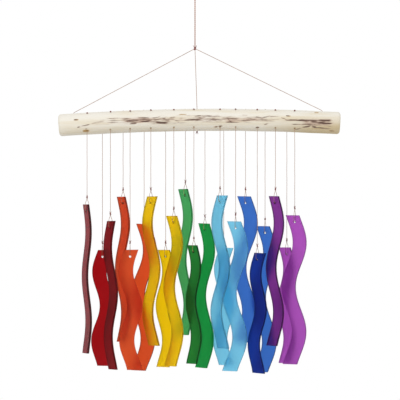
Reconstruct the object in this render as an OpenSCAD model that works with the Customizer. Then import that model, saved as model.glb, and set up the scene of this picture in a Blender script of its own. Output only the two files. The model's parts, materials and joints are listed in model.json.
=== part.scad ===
// Glass wind chime: wavy strips of coloured sheet glass, hung on cords in two rows below a peeled branch.
// The origin is where a hook bears inside the hanging loop. +Z is up, +X runs along the branch to the
// viewer's right, and +Y points away from the viewer. Sizes are in millimetres and angles in degrees.

/* [Branch] */
// Length of the branch from end to end
branch_length = 380; // [370:1:400]
// Diameter of the branch
branch_d = 30; // [28:0.5:33]
// How far the branch bows upwards between its ends
branch_bow = 6; // [4:0.5:9]
// Where the bow is highest, to the right of the branch's middle
crest_shift = 24; // [0:1:30]
// Middle of the branch, to the right of the hanging point
branch_shift = 6; // [4:0.5:8]
// Depth of the branch's axis below the hanging point, at the crest
branch_drop = 189; // [180:1:210]
// Rounding of the edge round each end
end_round = 4; // [2:0.5:7]

/* [Holes in the branch] */
// Diameter of every hole for a cord
bore_d = 1.8; // [1.6:0.1:2.2]
// Where a strip's cord comes out, measured round the branch from its underside
exit_angle = 48; // [42:1:54]
// Where the same hole starts, measured round the branch from its top
mouth_angle = 24; // [20:2:28]
// Where an outer bridle cord comes out at the back, measured round the branch from its underside
bridle_exit_angle = 48; // [42:1:54]

/* [Hanger] */
// Inner radius of the hanging loop
loop_r = 7; // [6:0.5:9]
// Diameter of the loop's cord
loop_d = 1.2; // [1:0.1:1.4]
// Depth of the loop's knot
loop_knot_drop = 23; // [21:0.5:23]
// Diameter of the loop's knot
loop_knot_d = 4.1; // [3.6:0.1:4.2]
// Depth of the pivot where the riser swings below the loop's knot
swing_drop = 26.4; // [26.4:0.1:28]
// Depth of the apex knot
apex_drop = 92.7; // [85:0.1:100]
// Diameter of the apex knot
apex_knot_d = 4; // [3:0.1:5]
// Diameter of one of the riser's two strands
riser_strand_d = 0.8; // [0.7:0.05:1]
// Diameter of the bridle cords
bridle_d = 0.7; // [0.6:0.05:0.9]
// Left bridle cord's foot, along the branch
bridle_left_x = -164; // [-168:1:-158]
// Centre bridle cord's foot
bridle_centre_x = 2.7; // [2.5:0.1:3.5]
// Right bridle cord's foot
bridle_right_x = 172; // [160:1:174]

/* [Cords] */
// Diameter of a strip's cord
cord_d = 0.6; // [0.5:0.05:0.7]
// Diameter of the stopper knots on the branch
stopper_d = 2.6; // [2.4:0.1:3]
// Width of the knot above each strip
knot_d = 2.2; // [1.8:0.1:2.6]
// Height of the knot above each strip
knot_h = 4; // [3:0.1:5]
// From the knot's middle down to the hole in the glass
knot_up = 18.5; // [17:0.5:22]

/* [Glass strips] */
// Thickness of the glass
glass_t = 3.2; // [2.8:0.1:3.4]
// Width of a strip at its top edge
strip_w_top = 19.2; // [17:0.1:20]
// Width of a strip at its bottom edge
strip_w_bottom = 20.8; // [18:0.1:21.5]
// Diameter of the hanging hole
hole_d = 3.2; // [3:0.1:3.6]
// Depth of the hole below the top edge
hole_down = 9; // [8:0.5:10]
// How far a long strip waves to each side
long_wave = 8; // [5:0.1:8.5]
// Length of one wave of a long strip
long_wavelength = 120; // [110:1:130]
// Depth of a long strip's first bulge below its top edge
long_first_bulge = 37; // [30:1:42]
// How far a short strip waves to each side
short_wave = 5.6; // [4:0.1:6]
// Length of one wave of a short strip
short_wavelength = 94; // [88:1:100]
// Depth of a short strip's first bulge below its top edge
short_first_bulge = 29; // [24:1:34]

/* [Hidden] */
$fn = 48;
FRONT = -1;
BACK = 1;
RIGHT = 1;
LEFT = -1;
LONG = 0;
SHORT = 1;

// One row for each strand, from left to right: place along the branch, row, drop from the branch to the hole
// in the glass, kind of strip, length of the strip, side of its first bulge, turn about the cord, tilt in its
// own plane, colour.
STRANDS = [
    [-145.5, FRONT, 108, LONG,  201, RIGHT, -70, -0.3, "darkred"],
    [-125.5, BACK,  171, SHORT, 157, LEFT,  -11,  0.6, "firebrick"],
    [-114.0, FRONT, 132, LONG,  200, LEFT,  -60, -0.8, "darkred"],
    [ -97.5, BACK,  100, LONG,  197, RIGHT, -58, -0.5, "orangered"],
    [ -87.5, FRONT, 172, SHORT, 162, LEFT,   -2, -0.7, "orangered"],
    [ -69.0, BACK,  138, LONG,  199, RIGHT, -20,  1.4, "orangered"],
    [ -59.5, FRONT, 101, LONG,  201, LEFT,  -50, -0.4, "gold"],
    [ -39.8, BACK,  174, SHORT, 159, RIGHT, -38, -0.2, "gold"],
    [ -28.5, FRONT, 128, LONG,  203, RIGHT, -46, -0.2, "gold"],
    [ -13.0, BACK,   92, LONG,  198, RIGHT, -54, -0.8, "seagreen"],
    [  -1.5, FRONT, 168, SHORT, 160, RIGHT, -51, -0.4, "green"],
    [  13.5, BACK,  139, LONG,  196, RIGHT, -45,  1.4, "green"],
    [  33.8, FRONT, 101, LONG,  206, LEFT,  -48,  0.6, "skyblue"],
    [  39.0, BACK,  172, SHORT, 159, LEFT,  -23,  0.9, "skyblue"],
    [  54.8, FRONT, 136, LONG,  202, RIGHT, -20,  1.0, "skyblue"],
    [  68.5, BACK,  102, LONG,  198, RIGHT, -25,  1.1, "royalblue"],
    [  84.0, FRONT, 178, SHORT, 162, LEFT,  -44,  2.0, "mediumblue"],
    [  95.0, BACK,  142, LONG,  198, RIGHT, -24,  0.6, "royalblue"],
    [ 108.5, FRONT, 101, LONG,  202, RIGHT, -52,  0.4, "purple"],
    [ 124.5, BACK,  170, SHORT, 157, RIGHT, -44, -0.6, "mediumorchid"],
    [ 134.5, FRONT, 126, LONG,  201, RIGHT, -27,  0.4, "mediumorchid"]
];

// Each bridle cord's foot along the branch, and where it comes out below
BRIDLES = [
    [bridle_left_x, bridle_exit_angle],
    [bridle_centre_x, 0],
    [bridle_right_x, bridle_exit_angle]
];

CORD_COLOUR = "rosybrown";
KNOT_COLOUR = "saddlebrown";
BRANCH_COLOUR = "wheat";

function at_x(k) = STRANDS[k][0];
function side(k) = STRANDS[k][1];
function drop(k) = STRANDS[k][2];
function kind(k) = STRANDS[k][3];
function strip_length(k) = STRANDS[k][4];
function hand(k) = STRANDS[k][5];
function turn(k) = STRANDS[k][6];
function tilt(k) = STRANDS[k][7];
function tint(k) = STRANDS[k][8];

branch_r = branch_d / 2;
bow_r = (pow(branch_length / 2, 2) + pow(branch_bow, 2)) / (2 * branch_bow);
crest_x = branch_shift + crest_shift;
body_left = branch_shift - branch_length / 2 + end_round;
body_right = branch_shift + branch_length / 2 - end_round;

// Places on the branch: its axis, a place round it from its underside to the back, a hole's mouth on top and
// its exit below, and the way between two places
function axis_z(x) = -branch_drop - bow_r + sqrt(pow(bow_r, 2) - pow(x - crest_x, 2));
function bow_angle(x) = asin((x - crest_x) / bow_r);
function round_branch(x, angle) = [x, branch_r * sin(angle), axis_z(x) - branch_r * cos(angle)];
function mouth(k) = round_branch(at_x(k), side(k) * (180 - mouth_angle));
function exit(k) = round_branch(at_x(k), side(k) * exit_angle);
function way(from, to) = (to - from) / norm(to - from);
function up_bore(k) = way(exit(k), mouth(k));

// The swing pivot stands a little proud of the exit, so that the cord clears the branch
pivot_proud = 0.2;
pivot_ball_d = 1.5 * cord_d;
riser_ball_d = 2.2 * riser_strand_d;
function pivot(k) = exit(k) + pivot_proud * [0, side(k) * sin(exit_angle), -cos(exit_angle)];
function hole(k) = pivot(k) - [0, 0, drop(k)];

// A strip's outline is one wavy cut moved sideways by the width, so strips nest on the sheet
outline_steps = 40;
function wave(k) = kind(k) == LONG
    ? [long_wave, long_wavelength, long_first_bulge]
    : [short_wave, short_wavelength, short_first_bulge];
function middle(k, s) = hand(k) * wave(k)[0] * cos(360 * (s - wave(k)[2]) / wave(k)[1]);
function width(k, s) = strip_w_top + (strip_w_bottom - strip_w_top) * s / strip_length(k);
function steps(k) = [for (i = [0 : outline_steps]) i * strip_length(k) / outline_steps];
function total(list) = list * [for (item = list) 1];

// The hole is placed so that the strip's centre of mass hangs straight below it at the strip's tilt
function area(k) = total([for (s = steps(k)) width(k, s)]);
function mass_x(k) = total([for (s = steps(k)) width(k, s) * middle(k, s)]) / area(k);
function mass_s(k) = total([for (s = steps(k)) width(k, s) * s]) / area(k);
function hole_x(k) = mass_x(k) - (mass_s(k) - hole_down) * tan(tilt(k));

// The loop through the glass: its legs stand clear of the faces, and its bottom arc passes through the hole
leg_stands_off = 0.9;
shoulder_stands_off = 0.6;
loop_leg_y = glass_t / 2 + leg_stands_off;
loop_bottom_up = 0.15;
loop_shoulder_up = hole_down + shoulder_stands_off;

// Room between pieces that move apart, and between a knot and the branch that it bears on
clear = 0.3;
seat_gap = 0.05;
// A bend's ball against its cord, half the spacing of the riser's strands, and how far a drill runs past
// a hole
bend_ratio = 1.15;
strand_offset = 0.42 * riser_strand_d;
bore_past = 3;

function two_digits(n) = n < 10 ? str("0", n) : str(n);
function cord_name(k) = str("cord_", two_digits(k + 1));
function strip_name(k) = str("strip_", two_digits(k + 1));
ALL = [0 : len(STRANDS) - 1];

// A straight round bar between two points
module bar(from, to, d) {
    along = to - from;
    reach = norm(along);
    translate(from)
        rotate([0, acos(along[2] / reach), atan2(along[1], along[0])])
            cylinder(d = d, h = reach);
}

module ball(at, d) {
    translate(at) sphere(d = d);
}

// A drilled hole that runs past both of its ends
module bore(from, to) {
    bar(from - bore_past * way(from, to), to + bore_past * way(from, to), bore_d);
}

// A knot as an upright pill, with its middle at a point
module pill(at, d, h) {
    straight = h - d;
    bar(at - [0, 0, straight / 2], at + [0, 0, straight / 2], d);
    ball(at - [0, 0, straight / 2], d);
    ball(at + [0, 0, straight / 2], d);
}

// A half ring of cord in the XZ plane, standing like an arch on its two ends
module arch(r, d) {
    rotate([90, 0, 0])
        rotate_extrude(angle = 180)
            translate([r, 0]) circle(d = d);
}

module hang_loop() {
    leg_x = loop_r + loop_d / 2;
    knot = [0, 0, -loop_knot_drop];
    color(CORD_COLOUR) {
        translate([0, 0, -loop_r]) arch(leg_x, loop_d);
        for (s = [-1, 1]) {
            bar([s * leg_x, 0, -loop_r], knot, loop_d);
            ball([s * leg_x, 0, -loop_r], bend_ratio * loop_d);
        }
        ball(knot, loop_knot_d);
    }
}

module riser_cord() {
    top = [0, 0, -swing_drop];
    bottom = [0, 0, -apex_drop + apex_knot_d / 2 + clear];
    apart = [strand_offset, 0, 0];
    color("indianred") {
        for (s = [-1, 1]) bar(top + s * apart, bottom + s * apart, riser_strand_d);
        ball(top, riser_ball_d);
    }
}

module apex_knot() {
    color(KNOT_COLOUR) ball([0, 0, -apex_drop], apex_knot_d);
}

// A bridle cord: a leg from the apex to the branch, then down through it to a stopper knot
module bridle(x, angle) {
    apex = [0, 0, -apex_drop];
    top = round_branch(x, 180);
    low = round_branch(x, angle);
    down = way(top, low);
    lean = down * [0, sin(angle), -cos(angle)];
    foot = top - bridle_d * down;
    knot = low + (stopper_d / 2 + seat_gap) / lean * down;
    start = apex + (apex_knot_d / 2 + bridle_d / 2 + clear) * way(apex, foot);
    color(CORD_COLOUR) {
        bar(start, foot, bridle_d);
        ball(foot, bend_ratio * bridle_d);
        bar(foot, knot, bridle_d);
        ball(knot, stopper_d);
    }
}

// One end of the branch: a flat face with a rounded edge, and a core that reaches into the branch
module end_cap() {
    core = branch_r - end_round;
    rotate_extrude() {
        translate([0, -end_round]) square([core, 2 * end_round]);
        intersection() {
            translate([branch_r - end_round, 0]) circle(r = end_round);
            square([branch_r, end_round]);
        }
    }
}

module branch() {
    from = bow_angle(body_left);
    to = bow_angle(body_right);
    color(BRANCH_COLOUR)
        difference() {
            union() {
                translate([crest_x, 0, -branch_drop - bow_r])
                    rotate([90, 0, 0])
                        rotate([0, 0, 90 - to])
                            rotate_extrude(angle = to - from, $fn = 720)
                                translate([bow_r, 0]) rotate(90) circle(r = branch_r);
                translate([body_left, 0, axis_z(body_left)]) rotate([0, from - 90, 0]) end_cap();
                translate([body_right, 0, axis_z(body_right)]) rotate([0, to + 90, 0]) end_cap();
            }
            for (k = ALL) bore(exit(k), mouth(k));
            for (foot = BRIDLES) bore(round_branch(foot[0], foot[1]), round_branch(foot[0], 180));
        }
}

// A cord's upper end: the stopper knot on top of the branch and the strand inside the hole
module anchor(k) {
    lean = up_bore(k) * [0, side(k) * sin(mouth_angle), cos(mouth_angle)];
    knot = mouth(k) + (stopper_d / 2 + seat_gap) / lean * up_bore(k);
    end = pivot(k) + (pivot_ball_d / 2 + 2 * clear) * up_bore(k);
    color(KNOT_COLOUR) {
        bar(end, knot, cord_d);
        ball(knot, stopper_d);
    }
}

module stopper_knots(row) {
    for (k = ALL) if (side(k) == row) anchor(k);
}

// A strip's cord: from its pivot under the branch to the knot, and the loop through the glass
module cord(k) {
    knot = [0, 0, knot_up];
    arc_up = loop_bottom_up + loop_leg_y;
    color(CORD_COLOUR)
        translate(hole(k)) {
            ball([0, 0, drop(k)], pivot_ball_d);
            bar(knot, [0, 0, drop(k)], cord_d);
            pill(knot, knot_d, knot_h);
            rotate([0, 0, turn(k)]) {
                for (s = [-1, 1]) {
                    shoulder = [0, s * loop_leg_y, loop_shoulder_up];
                    bar(shoulder, knot, cord_d);
                    ball(shoulder, bend_ratio * cord_d);
                    bar([0, s * loop_leg_y, arc_up], shoulder, cord_d);
                }
                translate([0, 0, arc_up]) rotate([180, 0, 90]) arch(loop_leg_y, cord_d);
            }
        }
}

// A wavy strip, drawn about its hole with its face towards the viewer, then tilted and turned
module strip(k) {
    left = [for (s = steps(k)) [middle(k, s) - width(k, s) / 2 - hole_x(k), hole_down - s]];
    right = [for (s = steps(k)) [middle(k, s) + width(k, s) / 2 - hole_x(k), hole_down - s]];
    back_up = [for (i = [outline_steps : -1 : 0]) right[i]];
    color(tint(k))
        translate(hole(k))
            rotate([0, 0, turn(k)])
                rotate([90, tilt(k), 0])
                    linear_extrude(height = glass_t, center = true)
                        difference() {
                            polygon(concat(left, back_up));
                            circle(d = hole_d);
                        }
}

hang_loop();
riser_cord();
apex_knot();
bridle(BRIDLES[0][0], BRIDLES[0][1]);  // bridle_left
bridle(BRIDLES[1][0], BRIDLES[1][1]);  // bridle_centre
bridle(BRIDLES[2][0], BRIDLES[2][1]);  // bridle_right
branch();
stopper_knots(FRONT);  // stopper_knots_front
stopper_knots(BACK);  // stopper_knots_back
for (k = ALL) cord(k);
for (k = ALL) strip(k);
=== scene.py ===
"""Looks of a glass wind chime: peeled branch, tied threads and frosted glass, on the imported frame."""

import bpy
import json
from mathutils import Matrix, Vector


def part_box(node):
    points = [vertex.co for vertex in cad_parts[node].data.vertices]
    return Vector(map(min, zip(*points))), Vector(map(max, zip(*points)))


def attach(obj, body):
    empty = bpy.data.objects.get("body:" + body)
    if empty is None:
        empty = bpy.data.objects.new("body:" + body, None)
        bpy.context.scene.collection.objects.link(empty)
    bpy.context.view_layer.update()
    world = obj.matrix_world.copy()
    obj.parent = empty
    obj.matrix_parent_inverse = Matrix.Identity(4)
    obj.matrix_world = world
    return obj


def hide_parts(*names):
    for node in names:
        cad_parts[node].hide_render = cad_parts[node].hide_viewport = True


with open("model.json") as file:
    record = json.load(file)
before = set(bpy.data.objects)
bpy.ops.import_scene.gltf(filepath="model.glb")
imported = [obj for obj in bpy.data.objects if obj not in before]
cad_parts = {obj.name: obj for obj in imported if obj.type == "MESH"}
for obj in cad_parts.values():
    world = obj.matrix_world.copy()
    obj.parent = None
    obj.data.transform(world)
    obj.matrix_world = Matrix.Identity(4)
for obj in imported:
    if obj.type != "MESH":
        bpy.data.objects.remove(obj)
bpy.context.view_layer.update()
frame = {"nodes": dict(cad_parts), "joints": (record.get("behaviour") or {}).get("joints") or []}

import json
import logging
import math
from dataclasses import dataclass, field
from enum import Enum
from typing import Iterable, Sequence

import bmesh
import bpy
from mathutils import Matrix, Vector, noise

LOG = logging.getLogger("wind_chime")
MM = 0.001
UP = Vector((0.0, 0.0, 1.0))
STRAND_COUNT = 21

Colour = tuple[float, float, float]
Span = tuple[float, float]


class Row(Enum):
    """The side of the branch that a strand hangs from."""

    FRONT = -1
    BACK = 1


class MarkKind(Enum):
    """What left a mark on the peeled branch: the channel of the marks attribute that holds it."""

    BARK = 0
    TAN = 1
    BLUSH = 2


class Socket:
    """One output of a shader node, on which arithmetic adds Math nodes."""

    def __init__(self, graph: "Graph", output: bpy.types.NodeSocket) -> None:
        """Keeps the output and the graph that it belongs to."""
        self.graph = graph
        self.output = output

    def _math(self, operation: str, first: "Socket | float", second: "Socket | float") -> "Socket":
        """Adds one Math node.

        Args:
            operation: the Math node's operation.
            first: its first operand.
            second: its second operand.

        Returns:
            The node's result.
        """
        return self.graph.node("ShaderNodeMath", {"operation": operation}, {0: first, 1: second})

    def __add__(self, other: "Socket | float") -> "Socket":
        """The sum with a value."""
        return self._math("ADD", self, other)

    def __radd__(self, other: float) -> "Socket":
        """The sum with a number on the left."""
        return self._math("ADD", other, self)

    def __sub__(self, other: "Socket | float") -> "Socket":
        """The difference from a value."""
        return self._math("SUBTRACT", self, other)

    def __rsub__(self, other: float) -> "Socket":
        """A number minus this value."""
        return self._math("SUBTRACT", other, self)

    def __mul__(self, other: "Socket | float") -> "Socket":
        """The product with a value."""
        return self._math("MULTIPLY", self, other)

    def __rmul__(self, other: float) -> "Socket":
        """The product with a number on the left."""
        return self._math("MULTIPLY", other, self)

    def greater(self, other: "Socket | float") -> "Socket":
        """The larger of this value and another."""
        return self._math("MAXIMUM", self, other)

    def sine(self) -> "Socket":
        """The sine of this value."""
        return self._math("SINE", self, 0.0)

    def smooth_step(self, low: float, high: float) -> "Socket":
        """A soft switch on this value.

        Args:
            low: the value up to which the result is 0.
            high: the value from which the result is 1.

        Returns:
            A value from 0 to 1.
        """
        settings = {"interpolation_type": "SMOOTHSTEP"}
        inputs = {"Value": self, "From Min": low, "From Max": high}
        return self.graph.node("ShaderNodeMapRange", settings, inputs)


class Graph:
    """The node tree of one material or of the world."""

    def __init__(self, owner: bpy.types.Material | bpy.types.World) -> None:
        """Empties the owner's node tree."""
        owner.use_nodes = True
        self.tree = owner.node_tree
        self.tree.nodes.clear()

    def node(
        self,
        kind: str,
        settings: dict[str, object] | None = None,
        inputs: dict[str | int, object] | None = None,
        output: int | str = 0,
    ) -> "Socket | None":
        """Adds a node.

        Args:
            kind: the node's type.
            settings: properties of the node, set before its sockets.
            inputs: values or links of its input sockets, by name or index.
            output: the output socket to return.

        Returns:
            That output socket, or nothing for an end node.
        """
        made = self.tree.nodes.new(kind)
        for name, value in (settings or {}).items():
            setattr(made, name, value)
        for name, value in (inputs or {}).items():
            if isinstance(value, Socket):
                self.tree.links.new(value.output, made.inputs[name])
            else:
                made.inputs[name].default_value = value
        return Socket(self, made.outputs[output]) if made.outputs else None

    def noise(self, per_metre: Colour, detail: float = 2.0) -> Socket:
        """Noise on Object coordinates.

        Args:
            per_metre: grains per metre along X, Y and Z.
            detail: octaves of finer noise.

        Returns:
            A value around 0.5.
        """
        place = self.node("ShaderNodeTexCoord", output="Object")
        scaled = self.node("ShaderNodeMapping", inputs={"Vector": place, "Scale": per_metre})
        return self.node("ShaderNodeTexNoise", inputs={"Vector": scaled, "Scale": 1.0, "Detail": detail})

    def mix(self, share: Socket, first: "Colour | Socket", second: "Colour | Socket") -> Socket:
        """A blend of two colours.

        Args:
            share: how much of the second colour shows.
            first: the colour at 0.
            second: the colour at 1.

        Returns:
            The blended colour.
        """
        colours = [c if isinstance(c, Socket) else (*c, 1.0) for c in (first, second)]
        settings = {"data_type": "RGBA"}
        return self.node("ShaderNodeMix", settings, {0: share, 6: colours[0], 7: colours[1]}, output=2)

    def bump(self, height: Socket, distance: float, strength: float = 1.0) -> Socket:
        """A bumped normal.

        Args:
            height: the height, from 0 to 1.
            distance: how high 1 stands, in metres.
            strength: how much of the bump shows.

        Returns:
            The normal.
        """
        inputs = {"Height": height, "Distance": distance, "Strength": strength}
        return self.node("ShaderNodeBump", inputs=inputs)

    def finish(self, surface: Socket, volume: Socket | None = None) -> None:
        """Links the output of a material.

        Args:
            surface: the surface shader.
            volume: the volume shader, if there is one.
        """
        inputs = {"Surface": surface} if volume is None else {"Surface": surface, "Volume": volume}
        self.node("ShaderNodeOutputMaterial", inputs=inputs)


@dataclass(frozen=True)
class FrostedGlass:
    """Sheet glass that is tinted right through, with satin faces."""

    slot: str
    through: Colour
    name: str = "frosted_glass"
    thickness: float = 3.2 * MM
    surface_share: float = 0.85
    clear_share: float = 0.92
    roughness: float = 0.85
    refraction: float = 1.35
    gloss_level: float = 0.01
    darkest: float = 0.002
    # How dark the painted shade on the ground edges is, as a share of the face colour.
    rim_shade: float = 0.12
    cloud_grain: Colour = (60.0, 60.0, 25.0)
    cloud_swing: float = 0.07
    roughness_swing: float = 0.05
    satin_grain: Colour = (1800.0, 1800.0, 1800.0)
    satin_height: float = 0.04 * MM
    satin_strength: float = 0.25

    def material(self) -> bpy.types.Material:
        """Makes the material.

        Returns:
            The glass, whose base colour and absorption together give the colour seen through one strip.
        """
        made = bpy.data.materials.new(f"{self.name}_{self.slot}")
        graph = Graph(made)
        through = [max(c, self.darkest) for c in self.through]
        face = [c**self.surface_share for c in through]
        cloud = graph.noise(self.cloud_grain, detail=3.0)
        deep = tuple((1.0 - self.cloud_swing) * c for c in face)
        pale = tuple(min(1.0, (1.0 + self.cloud_swing) * c) for c in face)
        tint = graph.mix(cloud, deep, pale)
        rim = graph.node("ShaderNodeAttribute", {"attribute_name": GlassStrip.RIM}, output="Fac")
        # Painted shade: the ground edges and arrises take a darker copy of the face colour.
        tint = graph.mix(rim, tint, tuple(self.rim_shade * c for c in face))
        grain = graph.noise(self.satin_grain, detail=1.0)
        satin = graph.bump(grain, self.satin_height, self.satin_strength)
        inputs = {
            "Base Color": tint,
            "Roughness": self.roughness - self.roughness_swing + 2.0 * self.roughness_swing * cloud,
            "Normal": satin,
            "IOR": self.refraction,
            "Transmission Weight": self.clear_share,
            "Specular IOR Level": self.gloss_level,
        }
        surface = graph.node("ShaderNodeBsdfPrincipled", inputs=inputs)
        loss = [-math.log(c) * (1.0 - self.surface_share) / self.thickness for c in through]
        density = max(loss)
        kept = tuple(1.0 - c / density for c in loss)
        volume = graph.node("ShaderNodeVolumeAbsorption", inputs={"Color": (*kept, 1.0), "Density": density})
        graph.finish(surface, volume)
        return made


@dataclass(frozen=True)
class TwistedThread:
    """Waxed thread whose plies wind round it."""

    slot: str
    light: Colour
    dark: Colour
    plies_per_metre: float = 900.0
    roughness: float = 0.6
    roughness_swing: float = 0.1
    fibre_grain: Colour = (3000.0, 3000.0, 900.0)
    worn_grain: Colour = (90.0, 90.0, 45.0)
    ply_height: float = 0.08 * MM
    ply_strength: float = 0.6
    sheen: float = 0.25
    sheen_roughness: float = 0.4
    worn_range: Span = (0.35, 0.7)
    light_range: Span = (0.1, 0.95)

    def material(self) -> bpy.types.Material:
        """Makes the material.

        Returns:
            The thread, with bands of light and dark ply along it and fibres across them.
        """
        made = bpy.data.materials.new(f"thread_{self.slot}")
        graph = Graph(made)
        place = graph.node("ShaderNodeTexCoord", output="Object")
        along = graph.node("ShaderNodeSeparateXYZ", inputs={"Vector": place}, output="Z")
        across = graph.node("ShaderNodeSeparateXYZ", inputs={"Vector": place}, output="X")
        turn = 2.0 * math.pi * self.plies_per_metre
        ply = (along * turn + across * turn).sine() * 0.5 + 0.5
        fibre = graph.noise(self.fibre_grain)
        worn = graph.noise(self.worn_grain).smooth_step(*self.worn_range)
        share = (ply * 0.5 + fibre * 0.3 + worn * 0.3).smooth_step(*self.light_range)
        tint = graph.mix(share, self.dark, self.light)
        inputs = {
            "Base Color": tint,
            "Roughness": self.roughness - self.roughness_swing + 2.0 * self.roughness_swing * fibre,
            "Normal": graph.bump(ply * 0.7 + fibre * 0.3, self.ply_height, self.ply_strength),
            "Sheen Weight": self.sheen,
            "Sheen Roughness": self.sheen_roughness,
        }
        graph.finish(graph.node("ShaderNodeBsdfPrincipled", inputs=inputs))
        return made


@dataclass(frozen=True)
class PeeledWood:
    """Peeled, weathered wood with remains of dark inner bark, and a painted shade wash along its underside.
    """

    slot: str = "peeled_wood"
    cream: Colour = (0.92, 0.88, 0.79)
    # The colour of the wash: painted shade on the underside, partly the wood's own yellowing.
    straw: Colour = (0.84, 0.75, 0.57)
    shaded_straw: Colour = (0.64, 0.52, 0.32)
    bark: Colour = (0.125, 0.074, 0.056)
    bark_edge: Colour = (0.40, 0.27, 0.20)
    tan: Colour = (0.46, 0.27, 0.08)
    blush: Colour = (0.60, 0.40, 0.32)
    end_grain: Colour = (0.72, 0.60, 0.38)
    ring_spacing: float = 1.6 * MM
    grain_size: Colour = (14.0, 170.0, 170.0)
    fibre_size: Colour = (60.0, 1500.0, 1500.0)
    flake_size: Colour = (95.0, 620.0, 620.0)
    streak_size: Colour = (30.0, 760.0, 760.0)
    wander_size: Colour = (120.0, 120.0, 120.0)
    wander: float = 4.0
    relief: float = 0.5 * MM
    relief_strength: float = 0.55
    roughness: float = 0.72
    gloss_level: float = 0.3
    straw_range: Span = (0.40, 0.80)
    fibre_range: Span = (0.52, 0.80)
    blush_range: Span = (0.15, 0.95)
    tan_range: Span = (0.15, 0.90)
    bark_range: Span = (0.02, 0.20)
    torn_range: Span = (1.22, 1.52)
    edge_range: Span = (1.04, 1.50)
    torn_bark: float = 0.62
    edge_bark: float = 0.80
    edge_share: float = 0.85

    def material(self) -> bpy.types.Material:
        """Makes the material.

        Returns:
            The wood, which reads the marks and the distance from the pith from the branch's own attributes.
        """
        made = bpy.data.materials.new(self.slot)
        graph = Graph(made)
        marks = {"attribute_name": Branch.MARKS}
        colour = graph.node("ShaderNodeAttribute", marks, output="Color")
        split = {"kind": "ShaderNodeSeparateColor", "inputs": {0: colour}}
        bark, tan, blush = (graph.node(**split, output=mark.value) for mark in MarkKind)
        end = graph.node("ShaderNodeAttribute", marks, output="Alpha")
        pith = graph.node("ShaderNodeAttribute", {"attribute_name": Branch.PITH}, output="Fac")
        shade_wash = graph.node("ShaderNodeAttribute", {"attribute_name": Branch.SHADE_WASH}, output="Fac")

        grain = graph.noise(self.grain_size, detail=4.0)
        fibre = graph.noise(self.fibre_size, detail=3.0)
        flake = graph.noise(self.flake_size, detail=4.0)
        streak = graph.noise(self.streak_size, detail=4.0)
        tint = graph.mix(grain.smooth_step(*self.straw_range), self.cream, self.straw)
        tint = graph.mix(fibre.smooth_step(*self.fibre_range) * 0.35, tint, self.straw)
        # Painted shade: a darker, yellower straw along the underside and towards the right end, partly the
        # wood's own yellowing.
        tint = graph.mix(shade_wash * (0.55 + grain * 0.6 + fibre * 0.3), tint, self.shaded_straw)
        blushed = (blush * (0.35 + flake)).smooth_step(*self.blush_range) * 0.8
        tint = graph.mix(blushed, tint, self.blush)
        stained = (tan * (0.5 + flake)).smooth_step(*self.tan_range)
        tint = graph.mix(stained, tint, self.tan)
        left = bark.smooth_step(*self.bark_range)
        broken = streak * 1.2 + flake * 0.9
        torn = (broken + bark * self.torn_bark).smooth_step(*self.torn_range) * left
        edge = (broken + bark * self.edge_bark).smooth_step(*self.edge_range) * left * self.edge_share
        tint = graph.mix(edge, tint, self.bark_edge)
        tint = graph.mix(torn, tint, self.bark)
        wander = graph.noise(self.wander_size) * self.wander
        ring = (pith * (2.0 * math.pi / self.ring_spacing) + wander).sine() * 0.5 + 0.5
        sawn = graph.mix(ring * 0.45, self.end_grain, self.straw)
        tint = graph.mix(end * 0.8, tint, sawn)
        height = fibre * 0.5 + grain * 0.3 - torn * 0.6
        inputs = {
            "Base Color": tint,
            "Roughness": self.roughness - 0.14 * grain,
            "Normal": graph.bump(height, self.relief, self.relief_strength),
            "Specular IOR Level": self.gloss_level,
        }
        graph.finish(graph.node("ShaderNodeBsdfPrincipled", inputs=inputs))
        return made


def make_object(name: str, bm: bmesh.types.BMesh) -> bpy.types.Object:
    """Turns a bmesh into an object at the origin.

    Args:
        name: the object's name.
        bm: its mesh, which is freed.

    Returns:
        The object, smooth shaded.
    """
    mesh = bpy.data.meshes.new(name)
    bm.to_mesh(mesh)
    bm.free()
    mesh.shade_smooth()
    made = bpy.data.objects.new(name, mesh)
    bpy.context.scene.collection.objects.link(made)
    return made


def dress(
    piece: bpy.types.Object,
    material: bpy.types.Material,
    body: str,
    nodes: Sequence[str] = (),
) -> bpy.types.Object:
    """Gives a piece its finish and its place on the frame.

    Args:
        piece: the piece.
        material: its material.
        body: the body that it rides on.
        nodes: the nodes that it stands for.

    Returns:
        The piece.
    """
    piece.data.materials.clear()
    piece.data.materials.append(material)
    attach(piece, body)
    if nodes:
        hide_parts(*nodes)
    LOG.info("%s on %s", piece.name, body)
    return piece


def lay_thread(
    name: str, route: Sequence[Vector], diameter: float, roundness: int = 2, steps: int = 5
) -> bpy.types.Object:
    """Lays a round thread along a route.

    Args:
        name: the object's name.
        route: the points that the thread passes through.
        diameter: its diameter.
        roundness: the detail of its section.
        steps: the steps from one point to the next.

    Returns:
        A curve of one open spline.
    """
    curve = bpy.data.curves.new(name, "CURVE")
    curve.dimensions = "3D"
    curve.bevel_depth = diameter / 2
    curve.bevel_resolution = roundness
    curve.resolution_u = steps
    curve.use_fill_caps = True
    spline = curve.splines.new("BEZIER")
    spline.bezier_points.add(len(route) - 1)
    for point, place in zip(spline.bezier_points, route):
        point.co = place
        point.handle_left_type = "AUTO"
        point.handle_right_type = "AUTO"
    made = bpy.data.objects.new(name, curve)
    bpy.context.scene.collection.objects.link(made)
    return made


def route_length(route: Sequence[Vector]) -> float:
    """The length of a route from point to point."""
    return sum((b - a).length for a, b in zip(route, route[1:]))


def ring_and_edges(
    ring: list[bmesh.types.BMVert],
) -> list[bmesh.types.BMVert | bmesh.types.BMEdge]:
    """The vertices of a ring, then its edges, in the same order on each run."""
    return ring + list(dict.fromkeys(e for v in ring for e in v.link_edges))


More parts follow.
